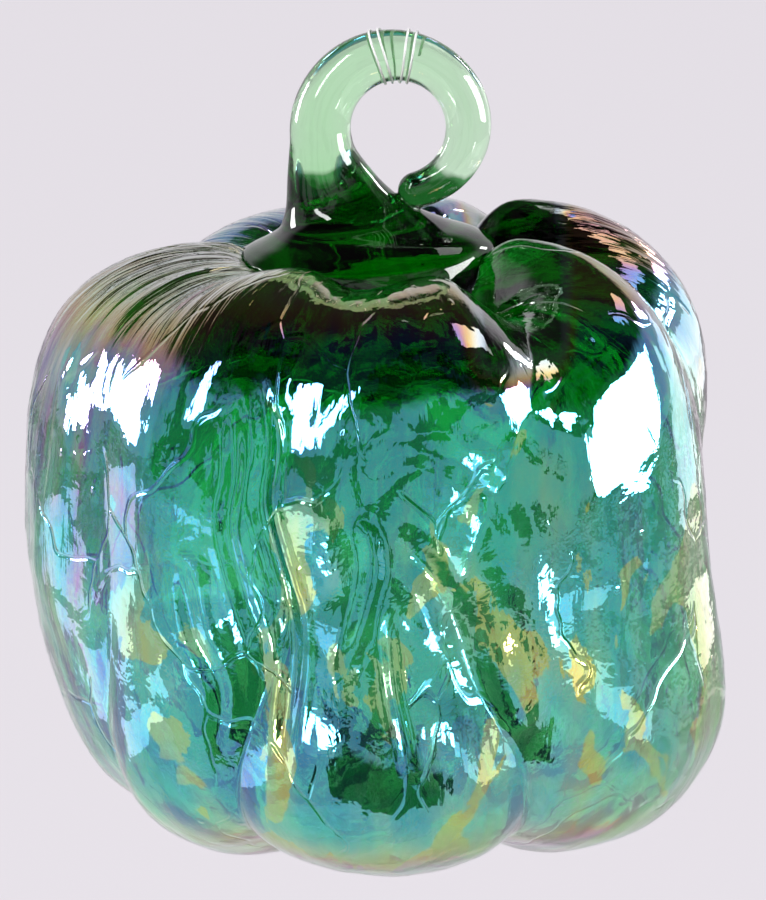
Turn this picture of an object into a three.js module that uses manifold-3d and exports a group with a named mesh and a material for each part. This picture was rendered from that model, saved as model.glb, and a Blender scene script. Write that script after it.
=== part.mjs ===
// A blown-glass bell pepper ornament, about 77 mm wide and 90 mm tall. The hollow lobed body is closed
// at its neck by a solid glass stem, which is drawn up into a hanging loop. A clear line is wound round
// the crown of the loop. Millimetres, +Z up, front towards -Y. The origin is where a hook bears, inside
// the crown of the loop.
import * as THREE from "three";
import { mergeVertices } from "three/addons/utils/BufferGeometryUtils.js";
import Module from "manifold-3d";

const wasm = await Module();
wasm.setup();

// The clearance between two pieces that touch.
const SEAT_GAP = 0.3;

// The core of the body is the plain round form that the grooves are cut down to. It is squarer above its
// waist.
const CORE_RADIUS = 33.6;
const SHOULDER_HEIGHT = 30.4;
const SHOULDER_SQUARENESS = 4.7;
const FOOT_HEIGHT = 27.7;
const FOOT_SQUARENESS = 4;
const STEM_DIMPLE_DEPTH = 5.6;
const STEM_DIMPLE_RADIUS = 12.5;
const BLOSSOM_DIMPLE_DEPTH = 4;
const BLOSSOM_DIMPLE_RADIUS = 10;
const LOBE_ROUNDNESS = 2.4;
const LOBE_START = 12;

// The blown wall, at its neck and at its thinnest.
const WALL = 2.6;
const NECK_RADIUS = 5.6;

// The lists below give a size at five even steps down the body: at the crest, shoulder, waist, hip and
// foot. The body's axis stands to the left of the loop's, and leans back below the waist.
const AXIS_OFFSETS = [-2.4, -2.7, -3.1, -1, 0.2];
const CREASE_SHARPNESS = [0.2, 0.4, 0.6, 0.9, 1];
// The glass gathers in the shoulders, where the wall is this much thicker. The wall's inner face takes a
// share of the lobes' relief, so it follows them more softly than the outer face does.
const WALL_THICKENING = [4.4, 2.9, 0, 0, 0];
const INNER_RELIEF_SHARES = [0.3, 0.5, 0.75, 0.75, 0.75];
// Each groove has its compass directions, in degrees anticlockwise from +X seen from above, and the
// heights of its floor over the core.
const GROOVES = [
  { directions: [215, 217, 221, 209, 183], floors: [4, 3.4, 2.8, 2, 3] },
  { directions: [263, 252, 256, 241, 231], floors: [3.2, 2.6, 2, 1.4, 1] },
  { directions: [315, 295, 284, 296, 300], floors: [-1, 2.6, 3, 1.2, 0.4] },
  { directions: [361, 353, 368, 376, 372], floors: [0, 2, 2.4, 2.4, 1.4] },
  { directions: [408, 408, 415, 416, 414], floors: [1.6, 1.8, 1.6, 1.4, 1] },
  { directions: [452, 458, 464, 466, 467], floors: [1.4, 1.4, 1.2, 1, 0.6] },
  { directions: [500, 511, 520, 516, 511], floors: [1.8, 1.8, 1.8, 1.4, 1] },
];
// Each lobe lies between its groove in the list above and the next one, and rises this far over the core.
const LOBES = [
  { name: "front left", reaches: [5, 4.8, 4.4, 4, 5] },
  { name: "front", reaches: [4.2, 4.4, 4.4, 4.4, 4.6] },
  { name: "right", reaches: [6.4, 5, 5.4, 5.4, 4.6] },
  { name: "back right", reaches: [8.6, 5.4, 4.6, 4.2, 4.4] },
  { name: "back", reaches: [7.2, 5.2, 4.4, 4.2, 4] },
  { name: "back left", reaches: [5.6, 5, 4.4, 4.2, 4] },
  { name: "left", reaches: [4.8, 4.4, 4.2, 3.2, 4.2] },
];
// The meridian angles, from 0 straight up, between which the values above are spread evenly.
const CREST_ANGLE = 30;
const FOOT_ANGLE = 150;
const COLUMNS_PER_LOBE = 11;
const OUTER_ROWS = 38;
const INNER_ROWS = 26;

// The loop: a round hole, and a rod whose diameter is given at even steps from the stem round to its
// tip. The directions are seen from the middle of the hole, anticlockwise from +X.
const EYE_RADIUS = 5.17;
const ROD_DIAMETERS = [6.7, 6, 5.2, 4.9, 4];
const STEM_DIRECTION = 190;
const TIP_DIRECTION = -74;
const ROD_SIDES = 20;
const ROD_STEPS = 26;
const TIP_STEPS = 4;

// The stem's foot, with its greatest reach to the left and to the right of the rod's middle and its greatest
// half depth. Each section is an ellipse with its level and its shares of these. The levels run from 0 at the
// seat to 1 at the loop's tip, which rests on the foot. The rod is rooted in it at a height of its own.
const STEM_HEIGHT = 26.6;
const ROD_ROOT_HEIGHT = 11;
const FOOT_LEFT = 9.8;
const FOOT_RIGHT = 19.8;
const FOOT_HALF_DEPTH = 12.4;
const FOOT_SECTIONS = [
  { level: -0.096, left: 0.561, right: 0.833, depth: 0.806 },
  { level: 0.179, left: 0.888, right: 0.944, depth: 0.968 },
  { level: 0.33, left: 0.99, right: 0.985, depth: 1 },
  { level: 0.475, left: 1, right: 1, depth: 0.968 },
  { level: 0.571, left: 0.806, right: 0.985, depth: 0.887 },
  { level: 0.64, left: 0.612, right: 0.944, depth: 0.79 },
  { level: 0.708, left: 0.459, right: 0.854, depth: 0.661 },
  { level: 0.777, left: 0.398, right: 0.692, depth: 0.532 },
  { level: 0.88, left: 0.347, right: 0.51, depth: 0.419 },
  { level: 1.032, left: 0.327, right: 0.369, depth: 0.339 },
  { level: 1.183, left: 0.327, right: 0.268, depth: 0.29 },
  { level: 1.334, left: 0.316, right: 0.187, depth: 0.258 },
  { level: 1.444, left: 0.276, right: 0.146, depth: 0.226 },
];
const FOOT_SIDES = 32;
const FOOT_ROWS = 24;

// The glass that sank into the open neck when the stem was laid on.
const PLUG_DEPTH = 4.4;
const PLUG_ROOT = 1.6;
const PLUG_SIDES = 24;

// The hanging line. In front of the rod each turn runs from the loop's inner side to its outer one, and
// behind the rod on to the next turn. This is where it crosses the outer side and the inner one by
// turns, from just before its start to just past its end.
const LINE_DIAMETER = 0.28;
const LINE_CLEARANCE = 0.2;
const LINE_CROSSINGS = [115, 105.8, 106.6, 97, 101.6, 88.2, 84, 79.4, 79, 70];
const LINE_SIDES = 6;
const LINE_STEPS_PER_TURN = 24;
const LINE_LEAST_GAP = 0.4;

const radians = THREE.MathUtils.degToRad;
const mix = THREE.MathUtils.lerp;
const smooth = THREE.MathUtils.smoothstep;

const EYE_CENTRE_Z = -EYE_RADIUS;
const SEAT_Z = -STEM_HEIGHT;
const ROD_AXIS_X = -EYE_RADIUS - ROD_DIAMETERS[0] / 2;

/** Joins rings of equal count into one closed skin, with a point at each end of the row. */
function skin(startPoint, rings, endPoint) {
  const count = rings[0].length;
  const points = [startPoint, ...rings.flat(), endPoint];
  const last = points.length - 1;
  const faces = [];
  for (let column = 0; column < count; column += 1) {
    const next = (column + 1) % count;
    const first = 1;
    const final = 1 + (rings.length - 1) * count;
    faces.push(0, first + next, first + column);
    faces.push(last, final + column, final + next);
    for (let row = 0; row + 1 < rings.length; row += 1) {
      const low = 1 + row * count;
      const high = low + count;
      faces.push(low + column, low + next, high + next);
      faces.push(low + column, high + next, high + column);
    }
  }
  const geometry = new THREE.BufferGeometry().setFromPoints(points);
  geometry.setIndex(faces);
  return geometry;
}

/** Turns a closed geometry into a solid that can be joined and cut. */
function solid(geometry) {
  const plain = geometry.clone();
  plain.deleteAttribute("normal");
  plain.deleteAttribute("uv");
  const merged = mergeVertices(plain);
  return new wasm.Manifold(
    new wasm.Mesh({
      numProp: 3,
      vertProperties: new Float32Array(merged.getAttribute("position").array),
      triVerts: new Uint32Array(merged.index.array),
    }),
  );
}

/** Turns a solid back into a geometry. */
function geometryOf(body) {
  const mesh = body.getMesh();
  const geometry = new THREE.BufferGeometry();
  geometry.setAttribute("position", new THREE.BufferAttribute(mesh.vertProperties, mesh.numProp));
  geometry.setIndex(new THREE.BufferAttribute(mesh.triVerts, 1));
  geometry.computeVertexNormals();
  return geometry;
}

/** The core's radius and its height over the waist, at a meridian angle from 0, up, to PI, down. */
function coreAt(angle) {
  const isShoulder = angle < Math.PI / 2;
  const tall = isShoulder ? SHOULDER_HEIGHT : FOOT_HEIGHT;
  const power = isShoulder ? SHOULDER_SQUARENESS : FOOT_SQUARENESS;
  const sine = Math.abs(Math.sin(angle));
  const cosine = Math.abs(Math.cos(angle));
  const reach = ((sine / CORE_RADIUS) ** power + (cosine / tall) ** power) ** (-1 / power);
  const radius = reach * sine;
  return isShoulder
    ? [radius, reach * cosine - STEM_DIMPLE_DEPTH * Math.exp(-((radius / STEM_DIMPLE_RADIUS) ** 2))]
    : [radius, BLOSSOM_DIMPLE_DEPTH * Math.exp(-((radius / BLOSSOM_DIMPLE_RADIUS) ** 2)) - reach * cosine];
}

/** The core's outward direction in the same plane, as radius and height. */
function coreNormal(angle) {
  const step = 1e-4;
  const [radiusBefore, heightBefore] = coreAt(angle - step);
  const [radiusAfter, heightAfter] = coreAt(angle + step);
  const along = Math.hypot(radiusAfter - radiusBefore, heightAfter - heightBefore);
  return [(heightBefore - heightAfter) / along, (radiusAfter - radiusBefore) / along];
}

/** The meridian angle at which the core has a given radius, on the stem's side. */
function angleAtRadius(radius) {
  const share = (radius / CORE_RADIUS) ** SHOULDER_SQUARENESS;
  return Math.atan2(radius, SHOULDER_HEIGHT * (1 - share) ** (1 / SHOULDER_SQUARENESS));
}

/** A value that is given at even steps of a way, taken smoothly at a share of it. */
function valueAt(values, share) {
  const curve = new THREE.SplineCurve(values.map((value) => new THREE.Vector2(value, 0)));
  return curve.getPoint(THREE.MathUtils.clamp(share, 0, 1)).x;
}

/** A value that is given from the crest to the foot, taken at a meridian angle. */
function alongMeridian(values, angle) {
  const first = radians(CREST_ANGLE);
  return valueAt(values, (angle - first) / (radians(FOOT_ANGLE) - first));
}

const NECK_ANGLE = angleAtRadius(NECK_RADIUS);
const WAIST_Z = SEAT_Z - coreAt(NECK_ANGLE)[1];

/** A ring of points round the body, with a share of its lobes' relief, moved in or out by an offset. */
function bodyRing(angle, reliefShare, thickening, offset) {
  const [coreRadius, coreHeight] = coreAt(angle);
  const [outwards, upwards] = coreNormal(angle);
  const start = angle < Math.PI / 2 ? NECK_RADIUS : 0;
  const fade = smooth(coreRadius, start, start + LOBE_START);
  const middleX = alongMeridian(AXIS_OFFSETS, angle);
  const directions = GROOVES.map((groove) => alongMeridian(groove.directions, angle));
  const floors = GROOVES.map((groove) => alongMeridian(groove.floors, angle));
  const sharpness = alongMeridian(CREASE_SHARPNESS, angle);
  const ring = [];
  LOBES.forEach((lobe, index) => {
    const next = (index + 1) % GROOVES.length;
    const nextDirection = directions[next] + (next === 0 ? 360 : 0);
    const reach = alongMeridian(lobe.reaches, angle);
    for (let column = 0; column < COLUMNS_PER_LOBE; column += 1) {
      const share = column / COLUMNS_PER_LOBE;
      const across = 2 * share - 1;
      const sharp = 1 - Math.abs(across) ** LOBE_ROUNDNESS;
      const soft = (1 + Math.cos(Math.PI * across)) / 2;
      const crown = mix(soft, sharp, sharpness);
      const relief = reliefShare * mix(across < 0 ? floors[index] : floors[next], reach, crown);
      const rise = fade * (relief - thickening) + offset;
      const direction = radians(mix(directions[index], nextDirection, share));
      const radius = coreRadius + outwards * rise;
      ring.push(
        new THREE.Vector3(
          middleX + radius * Math.cos(direction),
          radius * Math.sin(direction),
          WAIST_Z + coreHeight + upwards * rise,
        ),
      );
    }
  });
  return ring;
}

/** Meridian angles at even steps from the neck down to just before the blossom end. */
function meridianAngles(rows) {
  return Array.from({ length: rows }, (_, row) => mix(NECK_ANGLE, Math.PI, row / rows));
}

/** The rings of the body's outer face, or of one that lies evenly over it. */
function outerRings(offset) {
  return meridianAngles(OUTER_ROWS).map((angle) => bodyRing(angle, 1, 0, offset));
}

/** The rings of the wall's inner face. */
function innerRings() {
  return meridianAngles(INNER_ROWS).map((angle) => {
    const reliefShare = alongMeridian(INNER_RELIEF_SHARES, angle);
    return bodyRing(angle, reliefShare, alongMeridian(WALL_THICKENING, angle), -WALL);
  });
}

/** The point at the blossom end of a face of the body. */
function blossomEnd(offset) {
  const [, height] = coreAt(Math.PI);
  return new THREE.Vector3(alongMeridian(AXIS_OFFSETS, Math.PI), 0, WAIST_Z + height - offset);
}

/** The hollow body: up its outer face, over the lip of the neck and down its inner face. */
function blownBody() {
  return skin(blossomEnd(0), [...outerRings(0).reverse(), ...innerRings()], blossomEnd(-WALL));
}

/** The space that the stem keeps out of: the body's outer form with the seat gap, closed over the neck. */
function bodyClearance() {
  const rings = outerRings(SEAT_GAP).reverse();
  const lid = new THREE.Vector3(AXIS_OFFSETS[0], 0, rings.at(-1)[0].z);
  return solid(skin(blossomEnd(SEAT_GAP), rings, lid));
}

/** The rod's diameter in a direction from the middle of the loop's hole. */
function rodDiameter(direction) {
  return valueAt(ROD_DIAMETERS, (STEM_DIRECTION - direction) / (STEM_DIRECTION - TIP_DIRECTION));
}

/** A point beside the middle of the loop's hole, in the loop's plane. */
function besideEye(direction, distance) {
  const angle = radians(direction);
  return new THREE.Vector3(distance * Math.cos(angle), 0, EYE_CENTRE_Z + distance * Math.sin(angle));
}

/** The middle of the rod in a direction from the middle of the hole. */
function rodMiddle(direction) {
  return besideEye(direction, EYE_RADIUS + rodDiameter(direction) / 2);
}

/** A round ring of a given radius, square to the loop's plane. */
function ringAcross(middle, along, radius, sides) {
  const sideways = new THREE.Vector3(0, 1, 0);
  const outwards = new THREE.Vector3().crossVectors(sideways, along).normalize();
  return Array.from({ length: sides }, (_, side) => {
    const angle = (2 * Math.PI * side) / sides;
    return middle
      .clone()
      .addScaledVector(outwards, radius * Math.cos(angle))
      .addScaledVector(sideways, radius * Math.sin(angle));
  });
}

/** The loop's rod: up out of the foot, over the crown and round to a rounded tip that meets the stem. */
function loopRod() {
  const rodStart = rodMiddle(STEM_DIRECTION);
  const root = new THREE.Vector3(rodStart.x, 0, SEAT_Z + ROD_ROOT_HEIGHT);
  const rings = [ringAcross(root, new THREE.Vector3(0, 0, 1), rodDiameter(STEM_DIRECTION) / 2, ROD_SIDES)];
  const alongAt = (direction) =>
    rodMiddle(direction - 1)
      .sub(rodMiddle(direction + 1))
      .normalize();
  for (let step = 0; step <= ROD_STEPS; step += 1) {
    const direction = mix(STEM_DIRECTION, TIP_DIRECTION, step / ROD_STEPS);
    rings.push(ringAcross(rodMiddle(direction), alongAt(direction), rodDiameter(direction) / 2, ROD_SIDES));
  }
  const tipMiddle = rodMiddle(TIP_DIRECTION);
  const tipAlong = alongAt(TIP_DIRECTION);
  const tipRadius = rodDiameter(TIP_DIRECTION) / 2;
  for (let step = 1; step < TIP_STEPS; step += 1) {
    const turn = ((Math.PI / 2) * step) / TIP_STEPS;
    const middle = tipMiddle.clone().addScaledVector(tipAlong, tipRadius * Math.sin(turn));
    rings.push(ringAcross(middle, tipAlong, tipRadius * Math.cos(turn), ROD_SIDES));
  }
  return solid(skin(root, rings, tipMiddle.clone().addScaledVector(tipAlong, tipRadius)));
}

/** The flared foot, a loft through its sections, before the body is cut out of its underside. */
function stemFoot() {
  const tipHeight = rodMiddle(TIP_DIRECTION).z - SEAT_Z;
  const sizesOf = (size) => FOOT_SECTIONS.map((section) => section[size]);
  const rings = [];
  for (let row = 0; row <= FOOT_ROWS; row += 1) {
    const shareOf = (size) => valueAt(sizesOf(size), row / FOOT_ROWS);
    const left = FOOT_LEFT * shareOf("left");
    const right = FOOT_RIGHT * shareOf("right");
    const depth = FOOT_HALF_DEPTH * shareOf("depth");
    const height = tipHeight * shareOf("level");
    rings.push(
      Array.from({ length: FOOT_SIDES }, (_, side) => {
        const angle = (2 * Math.PI * side) / FOOT_SIDES;
        return new THREE.Vector3(
          ROD_AXIS_X + (right - left) / 2 + ((right + left) / 2) * Math.cos(angle),
          depth * Math.sin(angle),
          SEAT_Z + height,
        );
      }),
    );
  }
  const middleOf = (ring) => ring[0].clone().lerp(ring[FOOT_SIDES / 2], 0.5);
  return solid(skin(middleOf(rings[0]), rings, middleOf(rings.at(-1))));
}

/** The plug in the neck, with a domed end. */
function neckPlug() {
  const radius = NECK_RADIUS - SEAT_GAP;
  const dome = new THREE.EllipseCurve(0, 0, radius, PLUG_DEPTH, -Math.PI / 2, 0).getPoints(6);
  dome[0].x = 0;
  const profile = [...dome, new THREE.Vector2(radius, PLUG_ROOT), new THREE.Vector2(0, PLUG_ROOT)];
  const plug = new THREE.LatheGeometry(profile, PLUG_SIDES).rotateX(Math.PI / 2);
  return solid(plug.translate(AXIS_OFFSETS[0], 0, SEAT_Z));
}

/** The whole stem, which is one piece of glass: foot, rod and loop, with the plug in the neck. */
function stem() {
  const drawn = stemFoot().add(loopRod());
  return geometryOf(drawn.subtract(bodyClearance()).add(neckPlug()));
}

/** The hanging line's middle, at a count of turns from 0, behind the rod, round by its inner side. */
function lineMiddle(turn) {
  const direction = valueAt(LINE_CROSSINGS, (2 * turn + 0.5) / (LINE_CROSSINGS.length - 1));
  const reach = (rodDiameter(direction) + LINE_DIAMETER) / 2 + LINE_CLEARANCE;
  const angle = 2 * Math.PI * turn;
  return rodMiddle(direction)
    .addScaledVector(besideEye(direction, 1).sub(besideEye(direction, 0)), -reach * Math.sin(angle))
    .add(new THREE.Vector3(0, reach * Math.cos(angle), 0));
}

/** The line's middle at even steps along its turns, and straight on for its own thickness at each end. */
function linePath(stepsPerTurn) {
  const steps = (LINE_CROSSINGS.length / 2 - 1) * stepsPerTurn;
  const middles = Array.from({ length: steps + 1 }, (_, step) => lineMiddle(step / stepsPerTurn));
  const beyond = (end, inner) =>
    end.clone().addScaledVector(end.clone().sub(inner).normalize(), LINE_DIAMETER);
  return [beyond(middles[0], middles[1]), ...middles, beyond(middles.at(-1), middles.at(-2))];
}

/** The hanging line: one unbroken tube in turns round the crown, cut off behind the rod at each end. */
function hangingLine() {
  const middles = linePath(LINE_STEPS_PER_TURN);
  const last = middles.length - 1;
  const rings = middles.map((middle, step) => {
    const along = middles[Math.min(step + 1, last)].clone().sub(middles[Math.max(step - 1, 0)]).normalize();
    const across = new THREE.Vector3(1, 0, 0).cross(along).normalize();
    const third = new THREE.Vector3().crossVectors(along, across);
    return Array.from({ length: LINE_SIDES }, (_, side) => {
      const angle = (2 * Math.PI * side) / LINE_SIDES;
      return middle
        .clone()
        .addScaledVector(across, (LINE_DIAMETER / 2) * Math.cos(angle))
        .addScaledVector(third, (LINE_DIAMETER / 2) * Math.sin(angle));
    });
  });
  return skin(middles[0], rings, middles[last]);
}

/** The least gap between two turns of the hanging line, measured between points on its middle. */
function leastLineGap() {
  const stepsPerTurn = 8 * LINE_STEPS_PER_TURN;
  const middles = linePath(stepsPerTurn);
  let least = Infinity;
  middles.forEach((middle, step) => {
    for (let other = step + stepsPerTurn / 2; other < middles.length; other += 1) {
      least = Math.min(least, middle.distanceTo(middles[other]));
    }
  });
  return least - LINE_DIAMETER;
}

const lineGap = leastLineGap();
console.log(`least gap between turns of the line: ${lineGap.toFixed(2)} mm, wanted ${LINE_LEAST_GAP} mm`);

const bodyGlass = new THREE.MeshStandardMaterial({ color: 0x1f8a63, roughness: 0.04, metalness: 0 });
const stemGlass = new THREE.MeshStandardMaterial({ color: 0x5fae6b, roughness: 0.03, metalness: 0 });
const clearNylon = new THREE.MeshStandardMaterial({ color: 0xe6eeea, roughness: 0.15, metalness: 0 });

/** A named piece of the ornament. */
function piece(name, geometry, material) {
  const mesh = new THREE.Mesh(geometry, material);
  mesh.name = name;
  return mesh;
}

const ornament = new THREE.Group();
ornament.add(
  piece("blown_body", blownBody(), bodyGlass),
  piece("stem_and_loop", stem(), stemGlass),
  piece("hanging_line", hangingLine(), clearNylon),
);

export default ornament;
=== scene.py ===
"""A blown-glass bell pepper ornament: a hollow iridescent body, a clear stem drawn up into a hanging loop, and a
line wound round the loop.

Sizes are in millimetres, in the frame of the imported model: +Z is up, the front faces -Y, and the origin is where a
hook bears, inside the crown of the loop. Meshes are in metres.
"""

import logging
import math
from dataclasses import dataclass, field
from enum import Enum

import bpy
import numpy as np
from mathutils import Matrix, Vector


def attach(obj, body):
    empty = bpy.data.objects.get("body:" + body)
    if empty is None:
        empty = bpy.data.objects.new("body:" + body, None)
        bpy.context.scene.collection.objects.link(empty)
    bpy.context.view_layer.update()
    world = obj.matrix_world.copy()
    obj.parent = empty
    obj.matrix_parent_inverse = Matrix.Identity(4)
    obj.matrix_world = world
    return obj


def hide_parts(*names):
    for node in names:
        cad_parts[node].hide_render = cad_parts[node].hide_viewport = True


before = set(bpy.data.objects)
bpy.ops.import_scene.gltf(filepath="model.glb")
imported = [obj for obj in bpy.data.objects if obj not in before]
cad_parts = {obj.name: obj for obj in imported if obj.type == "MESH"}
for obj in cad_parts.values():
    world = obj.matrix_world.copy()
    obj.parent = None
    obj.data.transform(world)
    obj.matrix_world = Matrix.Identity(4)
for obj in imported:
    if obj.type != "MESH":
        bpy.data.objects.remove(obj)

Array = np.ndarray
Section = tuple[float, float, float, float]

MM = 0.001
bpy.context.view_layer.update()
log = logging.getLogger("pepper")


class Slot(Enum):
    """The names of the material slots."""

    BODY = "iridescent_green_glass"
    STEM = "clear_green_glass"
    LINE = "clear_nylon"


# ---- Numbers -------------------------------------------------------------------------------------------------------


def along(values: tuple[float, ...], share: Array) -> Array:
    """A list of values read smoothly along a way, as a uniform Catmull-Rom spline with its ends doubled.

    Args:
        values: the values at even steps of the way.
        share: where to read them, from 0 at the first to 1 at the last.

    Returns:
        The value at each share.
    """
    points = np.asarray(values, float)
    last = len(points) - 1
    place = np.clip(share, 0.0, 1.0) * last
    step = np.minimum(np.floor(place).astype(int), last)
    t = place - step
    before = points[np.maximum(step - 1, 0)]
    here = points[step]
    after = points[np.minimum(step + 1, last)]
    beyond = points[np.minimum(step + 2, last)]
    leave, arrive = (after - before) / 2, (beyond - here) / 2
    return (
        (2 * here - 2 * after + leave + arrive) * t**3
        + (3 * after - 3 * here - 2 * leave - arrive) * t**2
        + leave * t
        + here
    )


def smooth(value: Array, low: float, high: float) -> Array:
    """A smooth step from 0 at low to 1 at high: 3 t^2 - 2 t^3 of the share t between them."""
    t = np.clip((value - low) / (high - low), 0.0, 1.0)
    return t * t * (3 - 2 * t)


def blend_least(first: Array, second: Array, radius: Array | float) -> Array:
    """The lesser of two distances, rounded where they are within a radius of each other, as a fillet of glass is."""
    h = np.clip(0.5 + 0.5 * (second - first) / radius, 0.0, 1.0)
    return second + (first - second) * h - radius * h * (1 - h)


class Lattice:
    """Smooth noise from a repeating cube of seeded numbers."""

    def __init__(self, seed: int, size: int = 32) -> None:
        """Draws the numbers of the cube from the seed."""
        self.size = size
        self.numbers = np.random.default_rng(seed).uniform(-1.0, 1.0, (size, size, size))

    def at(self, x: Array, y: Array, z: Array) -> Array:
        """The noise at points: the eight numbers round each, mixed by 6 t^5 - 15 t^4 + 10 t^3 along each axis.

        Args:
            x: the first coordinates, in cells.
            y: the second ones.
            z: the third ones.

        Returns:
            Values between -1 and 1.
        """
        corners, shares = [], []
        for axis in np.broadcast_arrays(x, y, z):
            floor = np.floor(axis)
            t = axis - floor
            shares.append(t**3 * (t * (t * 6 - 15) + 10))
            corners.append(floor.astype(int))
        result = np.zeros(shares[0].shape)
        for i in (0, 1):
            for j in (0, 1):
                for k in (0, 1):
                    weight = np.ones_like(result)
                    for share, side in zip(shares, (i, j, k)):
                        weight = weight * (share if side else 1 - share)
                    cell = [(corner + side) % self.size for corner, side in zip(corners, (i, j, k))]
                    result += weight * self.numbers[cell[0], cell[1], cell[2]]
        return result

    def layered(self, x: Array, y: Array, z: Array, layers: int = 3) -> Array:
        """Noise summed over layers, each twice as fine and half as strong as the one before."""
        return sum(self.at(x * 2**n, y * 2**n, z * 2**n) / 2**n for n in range(layers)) / 1.6


# ---- Meshes --------------------------------------------------------------------------------------------------------


def mesh_piece(name: str, points: Array, quads: Array, triangles: Array | None = None) -> bpy.types.Object:
    """Makes a smooth-shaded piece from arrays of points and faces.

    Args:
        name: the piece's name.
        points: one row of x, y and z for each vertex, in millimetres.
        quads: one row of four vertex numbers for each four-sided face.
        triangles: one row of three vertex numbers for each three-sided face, if there are any.

    Returns:
        The new object, at the origin, with its place in its mesh.
    """
    triangles = np.zeros((0, 3), int) if triangles is None else triangles
    mesh = bpy.data.meshes.new(name)
    mesh.vertices.add(len(points))
    mesh.vertices.foreach_set("co", (points * MM).astype(np.float32).ravel())
    loops = np.concatenate([quads.ravel(), triangles.ravel()]).astype(np.int32)
    starts = np.concatenate([np.arange(len(quads)) * 4, len(quads) * 4 + np.arange(len(triangles)) * 3])
    mesh.loops.add(len(loops))
    mesh.loops.foreach_set("vertex_index", loops)
    mesh.polygons.add(len(starts))
    mesh.polygons.foreach_set("loop_start", starts.astype(np.int32))
    mesh.polygons.foreach_set("use_smooth", np.ones(len(starts), bool))
    mesh.update(calc_edges=True)
    piece = bpy.data.objects.new(name, mesh)
    bpy.context.scene.collection.objects.link(piece)
    log.info("%s: %d vertices, %d faces", name, len(points), len(starts))
    return piece


def skin(name: str, rings: Array, start: Array, end: Array) -> bpy.types.Object:
    """Joins rings of points into one closed skin, with a point at each end.

    Args:
        name: the piece's name.
        rings: rings, points in each, and x, y and z, turning so that the faces look outwards.
        start: the point that closes the first ring.
        end: the point that closes the last ring.

    Returns:
        The new piece.
    """
    count, around = rings.shape[:2]
    points = np.concatenate([rings.reshape(-1, 3), [start], [end]])
    column = np.arange(around)
    following = (column + 1) % around
    low = (np.arange(count - 1) * around)[:, None]
    quads = np.stack([low + column, low + following, low + around + following, low + around + column], axis=-1)
    first, last = count * around, count * around + 1
    high = (count - 1) * around
    caps = np.concatenate(
        [
            np.stack([np.full(around, first), following, column], axis=-1),
            np.stack([np.full(around, last), high + column, high + following], axis=-1),
        ]
    )
    return mesh_piece(name, points, quads.reshape(-1, 4), caps)


def point_values(piece: bpy.types.Object, name: str, values: Array) -> None:
    """Stores a number, or a vector, for each vertex of a piece."""
    kind, key = ("FLOAT", "value") if values.ndim == 1 else ("FLOAT_VECTOR", "vector")
    attribute = piece.data.attributes.new(name, kind, "POINT")
    attribute.data.foreach_set(key, values.astype(np.float32).ravel())


# ---- Shader nodes --------------------------------------------------------------------------------------------------


class Nodes:
    """A short way to write a node tree."""

    def __init__(self, tree: bpy.types.NodeTree) -> None:
        """Takes over an empty tree."""
        self.tree = tree

    def add(self, kind: str, settings: dict | None = None, **inputs: object) -> bpy.types.Node:
        """Adds a node.

        Args:
            kind: the node's type, without its ShaderNode prefix.
            settings: the node's own properties.
            inputs: sockets by name, with _ for a blank, each with a value or the socket that feeds it.

        Returns:
            The new node.
        """
        node = self.tree.nodes.new(kind if kind.startswith("NodeGroup") else "ShaderNode" + kind)
        for key, value in (settings or {}).items():
            setattr(node, key, value)
        for key, value in inputs.items():
            socket = node.inputs[int(key[1:])] if key[1:].isdigit() else node.inputs[key.replace("_", " ")]
            if isinstance(value, bpy.types.NodeSocket):
                self.tree.links.new(value, socket)
            else:
                socket.default_value = value
        return node

    def maths(self, operation: str, first: object, second: object = 0.0, third: object = 0.0) -> bpy.types.NodeSocket:
        """The result of a Math node."""
        return self.add("Math", {"operation": operation}, _0=first, _1=second, _2=third).outputs[0]

    def spread(self, value: object, low: float, high: float, to_low: float = 0.0, to_high: float = 1.0) -> bpy.types.NodeSocket:
        """A value spread smoothly from one range to another."""
        settings = {"interpolation_type": "SMOOTHSTEP"}
        node = self.add("MapRange", settings, Value=value, From_Min=low, From_Max=high, To_Min=to_low, To_Max=to_high)
        return node.outputs["Result"]

    def noise(self, vector: object, scale: float, detail: float = 2.0, distortion: float = 0.0) -> bpy.types.NodeSocket:
        """A noise texture's value."""
        return self.add("TexNoise", None, Vector=vector, Scale=scale, Detail=detail, Distortion=distortion).outputs[0]

    def stretched(self, vector: object, scale: tuple[float, float, float]) -> bpy.types.NodeSocket:
        """A vector times a scale of its own along each axis."""
        return self.add("Mapping", None, Vector=vector, Scale=scale).outputs[0]

    def mixed(self, share: object, first: object, second: object) -> bpy.types.NodeSocket:
        """A mix of two colours."""
        return self.add("Mix", {"data_type": "RGBA"}, Factor=share, _6=first, _7=second).outputs[2]

    def fused(self, seam: object) -> bpy.types.NodeSocket:
        """The refraction of glass, and none where two hot pieces have run together, as nothing is to be seen there."""
        return self.add("MapRange", None, Value=seam, From_Min=0.4, From_Max=0.6, To_Min=1.5, To_Max=1.0).outputs[0]

    def ramp(self, value: object, stops: tuple[tuple[float, float], ...]) -> bpy.types.NodeSocket:
        """A value read from a smooth ramp of places and greys."""
        node = self.add("ValToRGB", None, Fac=value)
        node.color_ramp.interpolation = "B_SPLINE"
        elements = node.color_ramp.elements
        while len(elements) < len(stops):
            elements.new(0.5)
        for element, (place, grey) in zip(elements, stops):
            element.position = place
            element.color = (grey, grey, grey, 1.0)
        return node.outputs[0]


def new_material(name: str) -> tuple[bpy.types.Material, Nodes]:
    """An empty material and the writer of its tree."""
    material = bpy.data.materials.new(name)
    material.use_nodes = True
    material.node_tree.nodes.clear()
    return material, Nodes(material.node_tree)


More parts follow.
